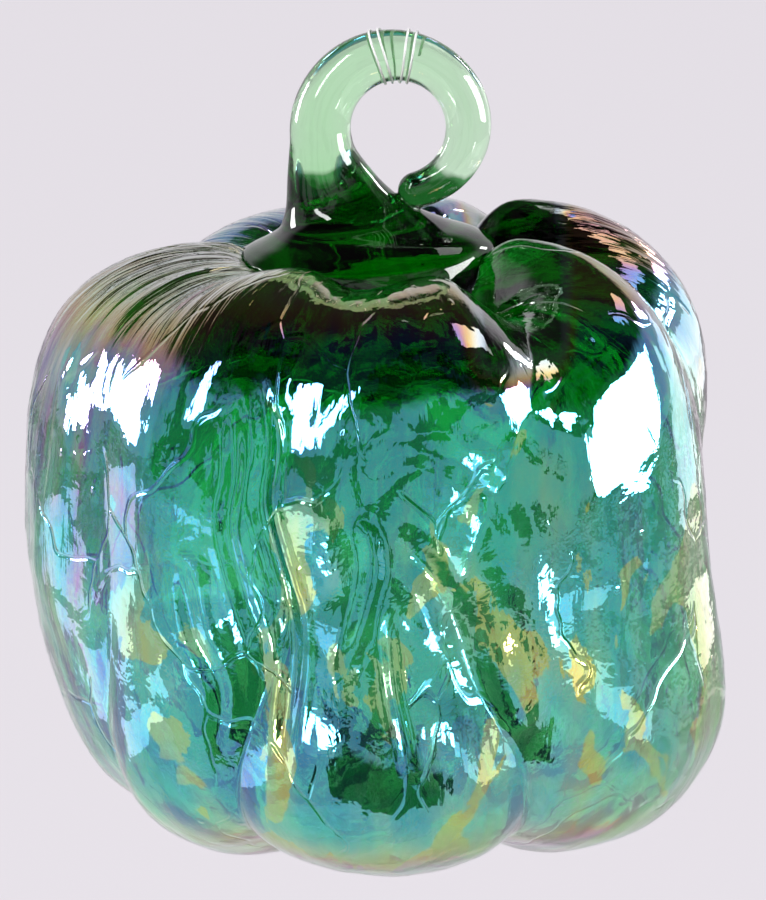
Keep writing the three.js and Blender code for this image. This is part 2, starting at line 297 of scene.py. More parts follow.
def blown_relief_group() -> bpy.types.ShaderNodeTree:
    """The small relief of blown glass as a group: drawn streaks, crackle lines and seeds.

    Returns:
        A node group with the inputs Vector, along which streaks are drawn in Z, Streaks, Crackle, Seeds and
        Crumple, and the outputs Height, in millimetres, and Lines, a mask of the crackle.
    """
    group = bpy.data.node_groups.new("blown relief", "ShaderNodeTree")
    face = group.interface
    face.new_socket(name="Vector", in_out="INPUT", socket_type="NodeSocketVector")
    for name in ("Streaks", "Crackle", "Seeds", "Crumple"):
        face.new_socket(name=name, in_out="INPUT", socket_type="NodeSocketFloat").default_value = 1.0
    for name in ("Height", "Lines"):
        face.new_socket(name=name, in_out="OUTPUT", socket_type="NodeSocketFloat")
    write = Nodes(group)
    given = write.add("NodeGroupInput").outputs
    warp = write.add("TexNoise", None, Vector=given["Vector"], Scale=90.0, Detail=2.0).outputs["Color"]
    warped = write.add(
        "VectorMath", {"operation": "MULTIPLY_ADD"}, _0=warp, _1=(0.011, 0.011, 0.011), _2=given["Vector"]
    ).outputs[0]
    streak = write.noise(write.stretched(given["Vector"], (1.0, 1.0, 0.10)), 650.0, 3.0, 0.7)
    cells = write.add(
        "TexVoronoi", {"feature": "DISTANCE_TO_EDGE"}, Vector=write.stretched(warped, (1, 1, 0.55)), Scale=75.0
    ).outputs[0]
    line = write.spread(cells, 0.0, 0.02, 1.0, 0.0)
    gaps = write.spread(write.noise(given["Vector"], 120.0), 0.42, 0.52)
    line = write.maths("MULTIPLY", line, gaps)
    drops = write.add("TexVoronoi", {"feature": "F1"}, Vector=given["Vector"], Scale=190.0).outputs[0]
    drops = write.spread(drops, 0.03, 0.09, 1.0, 0.0)
    height = write.maths("MULTIPLY", write.maths("SUBTRACT", streak, 0.5), given["Streaks"])
    height = write.maths("MULTIPLY_ADD", line, write.maths("MULTIPLY", given["Crackle"], -1.0), height)
    height = write.maths("MULTIPLY_ADD", drops, given["Seeds"], height)
    crumple = write.noise(given["Vector"], 330.0, 3.0, 0.3)
    height = write.maths("MULTIPLY_ADD", crumple, given["Crumple"], height)
    result = write.add("NodeGroupOutput", None, Height=height, Lines=line)
    result.is_active_output = True
    return group


@dataclass(frozen=True)
class IridescentGlass:
    """Green glass under a thin metal-oxide film that was fumed on hot, so its thickness wanders."""

    absorbed: tuple[float, float, float] = (0.30, 0.91, 0.60)
    density: float = 500.0
    tint: tuple[float, float, float] = (0.96, 1.0, 0.98)
    pooled: tuple[float, float, float] = (0.34, 0.62, 0.46)
    banded: tuple[float, float, float] = (0.62, 0.60, 0.66)
    # The shoulders' dark tint: partly the thick glass's own deeper green, partly painted shade.
    dark_glass_and_shade: tuple[float, float, float] = (0.20, 0.34, 0.26)
    film_index: float = 2.4
    film_full: float = 262.0
    film_wander: float = 40.0
    film_crest: float = -36.0
    film_sideways: float = 300.0
    film_right: float = 24.0
    film_behind: float = 44.0
    film_flake: float = 27.0
    film_gilt: float = 11.0
    coat: float = 0.8
    film_stops: tuple[tuple[float, float], ...] = (
        (0.0, 0.98), (0.06, 0.78), (0.12, 0.60), (0.22, 0.555), (0.42, 0.54), (0.66, 0.54), (0.84, 0.53), (1.0, 0.46),
    )
    low: float = -0.0845
    high: float = -0.0180

    def material(self, relief: bpy.types.ShaderNodeTree) -> bpy.types.Material:
        """Builds the material.

        Args:
            relief: the group of the small relief of blown glass.

        Returns:
            A glass that absorbs along its depth, with the film's thickness read from the height and from noise.
        """
        material, write = new_material("iridescent green glass")
        place = write.add("TexCoord").outputs["Object"]
        lay = write.add("Attribute", {"attribute_name": "lay"}).outputs["Vector"]
        outside = write.add("Attribute", {"attribute_name": "outside"}).outputs["Fac"]
        seam = write.add("Attribute", {"attribute_name": "seam"}).outputs["Fac"]
        x, y, z = write.add("SeparateXYZ", None, Vector=place).outputs
        height = write.add("MapRange", None, Value=z, From_Min=self.low, From_Max=self.high).outputs["Result"]
        film = write.maths("MULTIPLY", write.ramp(height, self.film_stops), self.film_full)
        film = write.maths("MULTIPLY_ADD", x, self.film_sideways, film)
        film = write.maths("ADD", film, write.spread(x, 0.029, 0.037, 0.0, self.film_right))
        behind = write.maths("MULTIPLY", write.spread(y, 0.004, 0.020), write.spread(z, -0.045, -0.025, 0.1, 1.0))
        film = write.maths("MULTIPLY_ADD", behind, self.film_behind, film)
        crest = write.maths("MULTIPLY", write.spread(z, -0.030, -0.019), write.spread(x, -0.024, -0.008, 1.0, 0.0))
        crest = write.maths("MAXIMUM", crest, write.spread(z, -0.0245, -0.0195, 0.0, 0.9))
        film = write.maths("MULTIPLY_ADD", crest, self.film_crest, film)
        swirl = write.add("TexNoise", None, Vector=lay, Scale=55.0, Detail=2.0).outputs["Color"]
        swirled = write.add(
            "VectorMath", {"operation": "MULTIPLY_ADD"}, _0=swirl, _1=(0.022, 0.022, 0.03), _2=lay
        ).outputs[0]
        patches = write.maths("SUBTRACT", write.noise(place, 75.0, 3.0, 0.6), 0.5)
        gilt = write.add("Attribute", {"attribute_name": "gilt"}).outputs["Fac"]
        flakes = write.noise(write.stretched(swirled, (1, 1, 0.3)), 165.0, 6.0)
        flakes = write.spread(write.maths("MULTIPLY_ADD", gilt, 0.20, flakes), 0.62, 0.63)
        streaks = write.maths("SUBTRACT", write.noise(write.stretched(lay, (1, 1, 0.12)), 420.0, 3.0), 0.5)
        film = write.maths("MULTIPLY_ADD", patches, self.film_wander, film)
        film = write.maths("MULTIPLY_ADD", flakes, self.film_flake, film)
        film = write.maths("MULTIPLY_ADD", streaks, self.film_wander, film)
        bare = write.maths("MULTIPLY", outside, write.maths("SUBTRACT", 1.0, seam))
        dark_glass_and_shade_share = write.add("Attribute", {"attribute_name": "dark_glass_and_shade_share"}).outputs["Fac"]
        film = write.maths("MULTIPLY_ADD", gilt, self.film_gilt, film)
        notch = write.maths("MULTIPLY", write.spread(x, 0.006, 0.010), write.spread(x, 0.0165, 0.0195, 1.0, 0.0))
        notch = write.maths("MULTIPLY", notch, write.spread(z, -0.029, -0.024))
        film = write.maths("MULTIPLY", film, write.maths("SUBTRACT", 1.0, write.maths("MULTIPLY", notch, 0.95)))
        film = write.maths("MULTIPLY", film, bare)
        wisps = write.noise(write.stretched(lay, (1, 1, 0.5)), 260.0, 3.0, 1.2)
        dark_glass_and_shade_share = write.maths("MULTIPLY", dark_glass_and_shade_share, write.spread(wisps, 0.30, 0.46, 0.35, 1.0))
        pools = write.noise(write.stretched(swirled, (1, 1, 0.45)), 80.0, 5.0)
        bands = write.noise(write.stretched(swirled, (1, 1, 0.16)), 130.0, 3.0)
        colour = write.mixed(write.spread(pools, 0.47, 0.52, 1.0, 0.0), (*self.tint, 1.0), (*self.pooled, 1.0))
        colour = write.mixed(write.spread(bands, 0.56, 0.575), colour, (*self.banded, 1.0))
        # Painted shade over the thick glass's colour: the shoulders, and wisps low on the front, are tinted dark.
        colour = write.mixed(dark_glass_and_shade_share, colour, (*self.dark_glass_and_shade, 1.0))
        drawn = write.add("Attribute", {"attribute_name": "drawn"}).outputs["Fac"]
        fine = write.add(
            "Group", {"node_tree": relief}, Vector=lay, Streaks=drawn, Crackle=0.6, Seeds=0.5, Crumple=0.7
        ).outputs["Height"]
        normal = write.add("Bump", None, Strength=0.5, Distance=0.0003, Height=fine).outputs[0]
        shader = write.add(
            "BsdfPrincipled",
            None,
            Base_Color=colour,
            Roughness=0.012,
            IOR=write.fused(seam),
            Transmission_Weight=1.0,
            Thin_Film_Thickness=film,
            Thin_Film_IOR=self.film_index,
            Coat_Weight=write.maths("MULTIPLY", bare, self.coat),
            Coat_Roughness=0.012,
            Coat_IOR=1.75,
            Coat_Normal=normal,
            Normal=normal,
        )
        inside = write.add("VolumeAbsorption", None, Color=(*self.absorbed, 1.0), Density=self.density)
        write.add("OutputMaterial", None, Surface=shader.outputs[0], Volume=inside.outputs[0])
        return material


@dataclass(frozen=True)
class ClearGlass:
    """The clear pale green glass of the stem, without a film, with painted shade on its lower part."""

    absorbed: tuple[float, float, float] = (0.51, 0.96, 0.51)
    density: float = 160.0
    clear: tuple[float, float, float] = (0.97, 1.0, 0.97)
    # Painted shade: the near-black green of the rod below its root, where it shows the dark inside of the body.
    root: tuple[float, float, float] = (0.02, 0.14, 0.03)
    # Painted shade, lighter than the root's: the deeper green of the foot's lower part.
    foot: tuple[float, float, float] = (0.30, 0.52, 0.32)

    def material(self, relief: bpy.types.ShaderNodeTree) -> bpy.types.Material:
        """Builds the material.

        Args:
            relief: the group of the small relief of blown glass.

        Returns:
            A glass that absorbs along its depth, darkened below its root by painted shade.
        """
        material, write = new_material("clear green glass")
        place = write.add("TexCoord").outputs["Object"]
        fine = write.add(
            "Group", {"node_tree": relief}, Vector=place, Streaks=0.15, Crackle=0.0, Seeds=0.0, Crumple=0.0
        ).outputs["Height"]
        normal = write.add("Bump", None, Strength=0.2, Distance=0.0001, Height=fine).outputs[0]
        z = write.add("SeparateXYZ", None, Vector=place).outputs[2]
        z = write.maths("MULTIPLY_ADD", write.noise(write.stretched(place, (1, 1, 0.3)), 300.0, 2.0), 0.004, z)
        # Painted shade: near-black green below the root, and a deeper green low on the foot.
        into_root_shade = write.spread(z, -0.0088, -0.0078, 1.0, 0.0)
        colour = write.mixed(into_root_shade, (*self.clear, 1.0), (*self.root, 1.0))
        colour = write.mixed(write.spread(z, -0.0150, -0.0120, 1.0, 0.0), colour, (*self.foot, 1.0))
        shader = write.add(
            "BsdfPrincipled",
            None,
            Base_Color=colour,
            Roughness=0.004,
            IOR=write.fused(write.add("Attribute", {"attribute_name": "seam"}).outputs["Fac"]),
            Transmission_Weight=1.0,
            Normal=normal,
        )
        inside = write.add("VolumeAbsorption", None, Color=(*self.absorbed, 1.0), Density=self.density)
        write.add("OutputMaterial", None, Surface=shader.outputs[0], Volume=inside.outputs[0])
        return material


@dataclass(frozen=True)
class ClearNylon:
    """Clear monofilament with faint draw marks along it."""

    colour: tuple[float, float, float] = (0.96, 0.97, 0.96)

    def material(self) -> bpy.types.Material:
        """Builds the material."""
        material, write = new_material("clear nylon")
        place = write.add("TexCoord").outputs["Object"]
        marks = write.noise(write.stretched(place, (1.0, 4.0, 1.0)), 900.0, 2.0)
        normal = write.add("Bump", None, Strength=0.15, Distance=0.00005, Height=marks).outputs[0]
        shader = write.add(
            "BsdfPrincipled",
            None,
            Base_Color=(*self.colour, 1.0),
            Roughness=0.2,
            IOR=1.53,
            Transmission_Weight=0.25,
            Normal=normal,
        )
        write.add("OutputMaterial", None, Surface=shader.outputs[0])
        return material


# ---- The blown body ------------------------------------------------------------------------------------------------


def way_gap(way: tuple[tuple[float, float], ...], points: Array, width: float) -> tuple[Array, Array]:
    """How far points of the front lie from a way over it.

    Args:
        way: the x and z of the way.
        points: points of the face, in millimetres.
        width: the way's half width, and the unit of the result.

    Returns:
        The gap in half widths, and how far the way is faded in there: 0 at its ends and behind, 1 along it.
    """
    xs, zs = zip(*way)
    share = np.linspace(0, 1, 24 * len(way))
    x, z = along(xs, share), along(zs, share)
    gap, fade = np.full(points.shape[:-1], 9.0), np.zeros(points.shape[:-1])
    reach = 4 * width
    near = (points[..., 1] < 0) & (points[..., 0] > x.min() - reach) & (points[..., 0] < x.max() + reach)
    near &= (points[..., 2] > z.min() - reach) & (points[..., 2] < z.max() + reach)
    gaps = np.hypot(points[near][:, 0, None] - x, points[near][:, 2, None] - z)
    closest = gaps.argmin(axis=1)
    gap[near] = gaps[np.arange(len(gaps)), closest] / width
    fade[near] = smooth(np.minimum(share[closest], 1 - share[closest]), 0.0, 0.2)
    return gap, fade


@dataclass(frozen=True)
class Gilding:
    """A place where the film is thicker and turns to gold: its way as x and z, and its half width."""

    way: tuple[tuple[float, float], ...]
    width: float

    def share(self, points: Array) -> Array:
        """How strongly points are gilded, bell-shaped about the way."""
        gap, fade = way_gap(self.way, points, self.width)
        return fade * np.exp(-(gap**2))


@dataclass(frozen=True)
class Crease:
    """A line drawn into the hot front of the body: its way as x and z, its depth and its half width."""

    way: tuple[tuple[float, float], ...]
    depth: float
    width: float

    def relief(self, points: Array) -> Array:
        """The crease's relief at points of the front.

        A bell-shaped groove about the way, with a low bell-shaped lip along each side, which fades out at both ends.

        Args:
            points: points of the plain face, in millimetres.

        Returns:
            The relief in millimetres, and none behind.
        """
        gap, fade = way_gap(self.way, points, self.width)
        return fade * self.depth * (0.45 * np.exp(-((gap - 1.9) ** 2) * 1.5) - np.exp(-(gap**2)))


@dataclass(frozen=True)
class Belly:
    """A fuller place on the body: its compass direction and spread in degrees, its height, and its rise."""

    compass: float
    spread: float
    level: float
    tall: float
    rise: float

    def relief(self, direction: Array, height: Array) -> Array:
        """A bell shape in compass direction and height, in millimetres."""
        aside = (np.degrees(direction) - self.compass + 180) % 360 - 180
        return self.rise * np.exp(-((aside / self.spread) ** 2) - ((height - self.level) / self.tall) ** 2)


@dataclass
class BlownBody:
    """The hollow, lobed body. Lists give a size at five even steps down it: crest, shoulder, waist, hip, foot."""

    core_radius: float = 33.6
    shoulder_height: float = 30.4
    shoulder_squareness: float = 4.7
    foot_height: float = 27.7
    foot_squareness: float = 4.0
    stem_dimple: tuple[float, float] = (5.6, 12.5)
    blossom_dimple: tuple[float, float] = (4.0, 10.0)
    lobe_roundness: float = 2.4
    lobe_start: float = 12.0
    neck_radius: float = 5.6
    seat_z: float = -26.6
    crest_angle: float = 30.0
    foot_angle: float = 150.0
    axis_offsets: tuple[float, ...] = (-2.4, -2.7, -3.1, -1.0, 0.2)
    crease_sharpness: tuple[float, ...] = (0.2, 0.4, 0.6, 0.9, 1.0)
    walls: tuple[float, ...] = (7.0, 5.5, 2.6, 2.6, 2.6)
    inner_relief_shares: tuple[float, ...] = (0.3, 0.5, 0.75, 0.75, 0.75)
    groove_directions: tuple[tuple[float, ...], ...] = (
        (215, 217, 221, 209, 183),
        (263, 252, 256, 241, 231),
        (315, 295, 284, 296, 300),
        (361, 353, 368, 376, 372),
        (408, 408, 415, 416, 414),
        (452, 458, 464, 466, 467),
        (500, 511, 520, 516, 511),
    )
    groove_floors: tuple[tuple[float, ...], ...] = (
        (4, 3.4, 2.8, 2, 3),
        (3.2, 2.6, 2, 1.4, 1),
        (-1, 2.6, 3, 1.2, 0.4),
        (0, 2, 2.4, 2.4, 1.4),
        (1.6, 1.8, 1.6, 1.4, 1),
        (1.4, 1.4, 1.2, 1, 0.6),
        (1.8, 1.8, 1.8, 1.4, 1),
    )
    lobe_reaches: tuple[tuple[float, ...], ...] = (
        (5, 4.8, 4.4, 4, 5),
        (4.2, 4.4, 4.4, 4.4, 4.6),
        (6.4, 5, 5.4, 5.4, 4.6),
        (8.6, 5.4, 4.6, 4.2, 4.4),
        (7.2, 5.2, 4.4, 4.2, 4),
        (5.6, 5, 4.4, 4.2, 4),
        (4.8, 4.4, 4.2, 3.2, 4.2),
    )
    creases: tuple[Crease, ...] = (
        Crease(((-15.5, -25), (-14.3, -28.7), (-13.7, -34), (-14.4, -39.4), (-13, -45.8), (-11.4, -51.2),
                (-11.1, -56.5), (-12.1, -65.1), (-12.1, -73)), 0.55, 0.8),
        Crease(((-17.5, -29), (-17.2, -36), (-18, -42), (-16.4, -49), (-14.6, -55), (-14.8, -62)), 0.35, 0.7),
        Crease(((0.1, -41), (2.2, -44.7), (4.3, -48.5), (7.5, -54.3), (8.5, -60.8), (9.4, -68.3), (9.9, -74)), 0.35, 1.4),
        Crease(((-4.5, -36), (-0.5, -33.6), (4.3, -34), (9.6, -38.3), (12.2, -43.6), (12.7, -50)), 0.2, 1.1),
        Crease(((-6, -58), (-3.4, -50), (-2.6, -44), (-4.4, -40)), 0.3, 0.9),
        Crease(((-23, -46), (-21.5, -54), (-19, -60), (-19.5, -67)), 0.35, 0.8),
        Crease(((-1.2, -50), (-0.6, -58), (0.6, -64), (1.2, -70)), 0.3, 0.6),
    )
    bellies: tuple[Belly, ...] = (
        Belly(316.0, 24.0, -45.0, 9.0, 0.9),
        Belly(259.0, 9.0, -37.5, 7.0, 0.5),
        Belly(294.0, 10.0, -29.0, 7.5, 1.3),
    )
    gildings: tuple[Gilding, ...] = (
        Gilding(((-29.5, -50), (-27.5, -56), (-25, -64), (-22, -72), (-19, -79)), 2.8),
        Gilding(((-12.6, -39), (-11.8, -43), (-10.6, -48), (-10.8, -52)), 1.5),
        Gilding(((-12.4, -55), (-12, -62), (-12.4, -70), (-13, -76)), 1.5),
        Gilding(((1.5, -45), (7, -50.5), (13, -55), (18.5, -58.5), (22, -60)), 2.8),
        Gilding(((33.5, -40), (34.5, -52), (34.5, -64), (32, -74)), 3.4),
        Gilding(((-22, -80), (-14, -79), (-2, -82), (10, -82), (20, -80), (29, -76)), 2.2),
    )
    columns_per_lobe: int = 56
    outer_rows: int = 168
    inner_rows: int = 70
    swell: Lattice = field(default_factory=lambda: Lattice(11))
    folds: Lattice = field(default_factory=lambda: Lattice(12, 64))
    ripples: Lattice = field(default_factory=lambda: Lattice(13, 64))

    def core(self, angle: Array) -> tuple[Array, Array]:
        """The plain round form that the grooves are cut down to.

        A superellipse in the meridian plane, squarer above the waist, with a bell-shaped dimple at each end.

        Args:
            angle: meridian angles, from 0 straight up to pi straight down.

        Returns:
            The radius, and the height over the waist.
        """
        above = angle < math.pi / 2
        tall = np.where(above, self.shoulder_height, self.foot_height)
        power = np.where(above, self.shoulder_squareness, self.foot_squareness)
        sine, cosine = np.abs(np.sin(angle)), np.abs(np.cos(angle))
        reach = ((sine / self.core_radius) ** power + (cosine / tall) ** power) ** (-1 / power)
        radius = reach * sine
        top = reach * cosine - self.stem_dimple[0] * np.exp(-((radius / self.stem_dimple[1]) ** 2))
        foot = self.blossom_dimple[0] * np.exp(-((radius / self.blossom_dimple[1]) ** 2)) - reach * cosine
        return radius, np.where(above, top, foot)

    def core_normal(self, angle: Array) -> tuple[Array, Array]:
        """The core's outward direction as radius and height, from the difference of two near points."""
        step = 1e-4
        radius_before, height_before = self.core(angle - step)
        radius_after, height_after = self.core(angle + step)
        length = np.hypot(radius_after - radius_before, height_after - height_before)
        return (height_before - height_after) / length, (radius_after - radius_before) / length

    @property
    def neck_angle(self) -> float:
        """The meridian angle of the open neck."""
        share = (self.neck_radius / self.core_radius) ** self.shoulder_squareness
        return math.atan2(self.neck_radius, self.shoulder_height * (1 - share) ** (1 / self.shoulder_squareness))

    @property
    def waist_z(self) -> float:
        """The height of the waist in the frame."""
        return self.seat_z - float(self.core(np.array(self.neck_angle))[1])

    def down(self, values: tuple[float, ...], angle: Array) -> Array:
        """A list of values read at meridian angles, from the crest to the foot."""
        first, last = math.radians(self.crest_angle), math.radians(self.foot_angle)
        return along(values, (angle - first) / (last - first))

    def lobes(self, turn: Array, angle: Array) -> tuple[Array, Array]:
        """The lobes' relief: between two grooves it rises from their floors to the lobe's reach.

        The rise is a mix of a soft cosine crown and a fuller power crown, which meets its neighbour in a crease.

        Args:
            turn: the place round the body, counted in lobes from 0 to 7.
            angle: the meridian angle.

        Returns:
            The compass direction in radians, and the rise over the core.
        """
        count = len(self.lobe_reaches)
        directions = np.stack([self.down(values, angle) for values in self.groove_directions])
        floors = np.stack([self.down(values, angle) for values in self.groove_floors])
        reaches = np.stack([self.down(values, angle) for values in self.lobe_reaches])
        lobe = np.floor(turn).astype(int) % count
        after = (lobe + 1) % count
        share = turn - np.floor(turn)

        def pick(table: Array, index: Array) -> Array:
            """Takes each point's own row of a table."""
            return np.take_along_axis(table, index[None], axis=0)[0]

        start = pick(directions, lobe)
        end = pick(directions, after) + np.where(after == 0, 360.0, 0.0)
        across = 2 * share - 1
        sharp = 1 - np.abs(across) ** self.lobe_roundness
        soft = (1 + np.cos(math.pi * across)) / 2
        crown = soft + (sharp - soft) * self.down(self.crease_sharpness, angle)
        floor = np.where(across < 0, pick(floors, lobe), pick(floors, after))
        return np.radians(start + (end - start) * share), floor + (pick(reaches, lobe) - floor) * crown

    def outer_relief(self, direction: Array, angle: Array) -> Array:
        """The hand-made relief of the outer face, in millimetres.

        The sum of a broad swell, folds that are drawn long down the meridians and stronger on the shoulders, and
        small ripples.
        """
        x, y = np.cos(direction), np.sin(direction)
        swell = self.swell.layered(x * 2.6 + 7, y * 2.6 + 7, angle * 2.2, 2) * 0.75
        drift = self.swell.at(x * 2 + 3, y * 2 + 3, angle * 2.5) * 0.16
        turned = direction + drift
        folds = self.folds.layered(np.cos(turned) * 13 + 30, np.sin(turned) * 13 + 30, angle * 1.3, 3)
        shoulder = 0.35 + 0.65 * smooth(angle, 1.75, 0.9)
        left = 0.4 + 0.9 * smooth(-x, 0.72, 0.97)
        ripple = self.ripples.layered(x * 9 + 20, y * 9 + 20, angle * 9, 2)
        return swell + folds * 0.22 * shoulder * left + ripple * 0.14

    def inner_relief(self, direction: Array, angle: Array) -> Array:
        """The relief of the inner face: soft ripples in the wall's thickness, in millimetres."""
        x, y = np.cos(direction), np.sin(direction)
        long_waves = self.ripples.layered(x * 5 + 11, y * 5 + 11, angle * 3, 2) * 0.6
        return long_waves + self.folds.layered(x * 11 + 40, y * 11 + 40, angle * 8, 2) * 0.2

    def face(self, turn: Array, angle: Array, inside: bool) -> tuple[Array, Array]:
        """Points of the outer or the inner face.

        Each point is the core's point, moved along the core's normal by the lobes' relief and the hand-made one.
        The inner face takes a share of the lobes' relief and lies a wall's thickness in.

        Args:
            turn: the places round the body, counted in lobes.
            angle: the meridian angles.
            inside: True for the inner face.

        Returns:
            The points, in millimetres, and their compass directions.
        """
        radius, height = self.core(angle)
        outwards, upwards = self.core_normal(angle)
        direction, rise = self.lobes(turn, angle)
        start = np.where(angle < math.pi / 2, self.neck_radius, 0.0)
        t = np.clip((radius - start) / self.lobe_start, 0.0, 1.0)
        fade = t * t * (3 - 2 * t)
        if inside:
            rise = fade * (rise * self.down(self.inner_relief_shares, angle) + self.inner_relief(direction, angle))
            thick = self.down(self.walls, angle)
            rise = rise - (self.walls[2] + (thick - self.walls[2]) * fade)
        else:
            rise = fade * (rise + self.outer_relief(direction, angle))
        middle = self.down(self.axis_offsets, angle)

        def placed() -> Array:
            """The core's points, moved out by the rise."""
            reach = radius + outwards * rise
            level = self.waist_z + height + upwards * rise
            return np.stack([middle + reach * np.cos(direction), reach * np.sin(direction), level], axis=-1)

        if not inside:
            plain = placed()
            rise = rise + sum(crease.relief(plain) for crease in self.creases)
            rise = rise + sum(belly.relief(direction, plain[..., 2]) for belly in self.bellies)
        return placed(), direction

    def dark_glass_and_shade(self, points: Array) -> Array:
        """How far points lie in the shoulders' dark tint, from 0 to 1. The tint is partly the thick glass's own deeper
        green and partly painted shade that deepens the dark band across the shoulders.

        The shoulders' lower edge is lowest at the middle of the front, rises to both sides as a parabola, and
        wavers. Wisps of the same dark tint also lie low on the front.
        """
        x, y, z = points[..., 0], points[..., 1], points[..., 2]
        waver = self.swell.layered(x / 9 + 3, y / 9 + 3, z / 30, 3) * 1.6
        waver = waver + self.folds.layered(x / 2.6 + 3, y / 2.6 + 3, z / 9, 2) * 0.9
        front = -26.3 + np.where(x < -5, 0.0105, 0.004) * (x + 5) ** 2
        edge = np.where(y < 0, front, np.clip(front, -24.0, -20.0)) + waver
        shoulders = smooth(z, edge - 0.9, edge + 0.9)
        spot = np.exp(-((z + 69.5 + waver) / 3.6) ** 4 - ((x - 4.0) / 15.0) ** 4) * (y < 0)
        return np.maximum(shoulders, spot * smooth(self.folds.layered(x / 4, y / 4, z / 5 + 9, 3), -0.35, 0.25))

    def drawn_streaks(self, points: Array) -> Array:
        """How strongly the glass is streaked along the meridians: most on the crests and down the left side."""
        x, y, z = points[..., 0], points[..., 1], points[..., 2]
        crest = smooth(z, -27.0, -20.0) * np.maximum(smooth(-x, 6.0, 22.0), smooth(x, 14.0, 22.0) * smooth(y, 0.0, 8.0))
        return 0.15 + 3.6 * crest + 0.9 * smooth(-x, 34.0, 39.0)

    def even_angles(self, rows: int) -> Array:
        """Meridian angles from the neck to just before the blossom end, at even steps of the core's own length."""
        fine = np.linspace(self.neck_angle, math.pi, 4000)
        radius, height = self.core(fine)
        length = np.concatenate([[0.0], np.cumsum(np.hypot(np.diff(radius), np.diff(height)))])
        return np.interp(np.arange(rows) / rows * length[-1], length, fine)

    def build(self) -> bpy.types.Object:
        """Builds the body: up its outer face, over the lip of the neck and down its inner face.

        Returns:
            The closed piece, with each vertex's place on the surface and which face it is on.
        """
        count = len(self.lobe_reaches)
        turns = np.arange(count * self.columns_per_lobe) / self.columns_per_lobe
        faces, lays = [], []
        for inside, rows in ((False, self.outer_rows), (True, self.inner_rows)):
            turn, angle = np.meshgrid(turns, self.even_angles(rows))
            points, direction = self.face(turn, angle, inside)
            lay = np.stack([np.cos(direction), np.sin(direction), angle], axis=-1) * self.core_radius * MM
            order = slice(None) if inside else slice(None, None, -1)
            faces.append(points[order])
            lays.append(lay[order])
        ends = []
        middle = self.down(self.axis_offsets, np.array(math.pi))
        height = self.waist_z + float(self.core(np.array(math.pi))[1])
        for wall in (0.0, self.walls[-1]):
            ends.append(np.array([float(middle), 0.0, height + wall]))
        piece = skin("blown_body_glass", np.concatenate(faces), ends[0], ends[1])
        pole = np.array([[0.0, 0.0, math.pi * self.core_radius * MM]])
        point_values(piece, "lay", np.concatenate([np.concatenate(lays).reshape(-1, 3), pole, pole]))
        outside = np.concatenate([np.ones(faces[0].shape[0] * len(turns)), np.zeros(faces[1].shape[0] * len(turns))])
        point_values(piece, "outside", np.concatenate([outside, [1.0, 0.0]]))
        points = np.concatenate(faces).reshape(-1, 3)
        # The share of the shoulders' dark tint, partly thick glass and partly painted shade.
        point_values(piece, "dark_glass_and_shade_share", np.concatenate([self.dark_glass_and_shade(points) * outside, [0.0, 0.0]]))
        point_values(piece, "drawn", np.concatenate([self.drawn_streaks(points), [0.3, 0.3]]))
        gilt = sum(gilding.share(points) for gilding in self.gildings)
        point_values(piece, "gilt", np.concatenate([gilt * outside, [0.0, 0.0]]))
        return piece

    def mark_seam(self, piece: bpy.types.Object, stem: "Stem") -> None:
        """Marks the vertices of the built body that the stem's foot covers.

        Args:
            piece: the built body.
            stem: the stem on it.
        """
        points = np.zeros(len(piece.data.vertices) * 3, np.float32)
        piece.data.vertices.foreach_get("co", points)
        points = points.reshape(-1, 3).astype(float) / MM
        near = (np.hypot(points[:, 0], points[:, 1]) < 24) & (points[:, 2] > self.seat_z - 4)
        seam = np.zeros(len(points))
        seam[near] = stem.drawn_distance(points[near]) < -0.35
        outside = np.zeros(len(points), np.float32)
        piece.data.attributes["outside"].data.foreach_get("value", outside)
        point_values(piece, "seam", seam * outside)

    def height_map(self, low: Array, high: Array, pitch: float) -> Array:
        """The height of the body's top over a level grid, as the mean of dense points of the outer face.

        Args:
            low: the least x and y of the grid.
            high: the greatest ones.
            pitch: the grid's step.

        Returns:
            Heights by x and y. Where the open neck leaves no points, the height of the seat.
        """
        count = len(self.lobe_reaches)
        turn, angle = np.meshgrid(np.arange(count * 260) / 260, np.linspace(self.neck_angle, 1.15, 520))
        points = self.face(turn, angle, False)[0].reshape(-1, 3)
        shape = np.round((high - low) / pitch).astype(int) + 1
        cell = np.round((points[:, :2] - low) / pitch).astype(int)
        kept = np.all((cell >= 0) & (cell < shape), axis=1)
        flat = cell[kept, 0] * shape[1] + cell[kept, 1]
        total = np.bincount(flat, points[kept, 2], shape[0] * shape[1])
        number = np.bincount(flat, minlength=shape[0] * shape[1])
        heights = np.where(number > 0, total / np.maximum(number, 1), self.seat_z)
        return heights.reshape(shape)


# ---- The stem and its loop -----------------------------------------------------------------------------------------


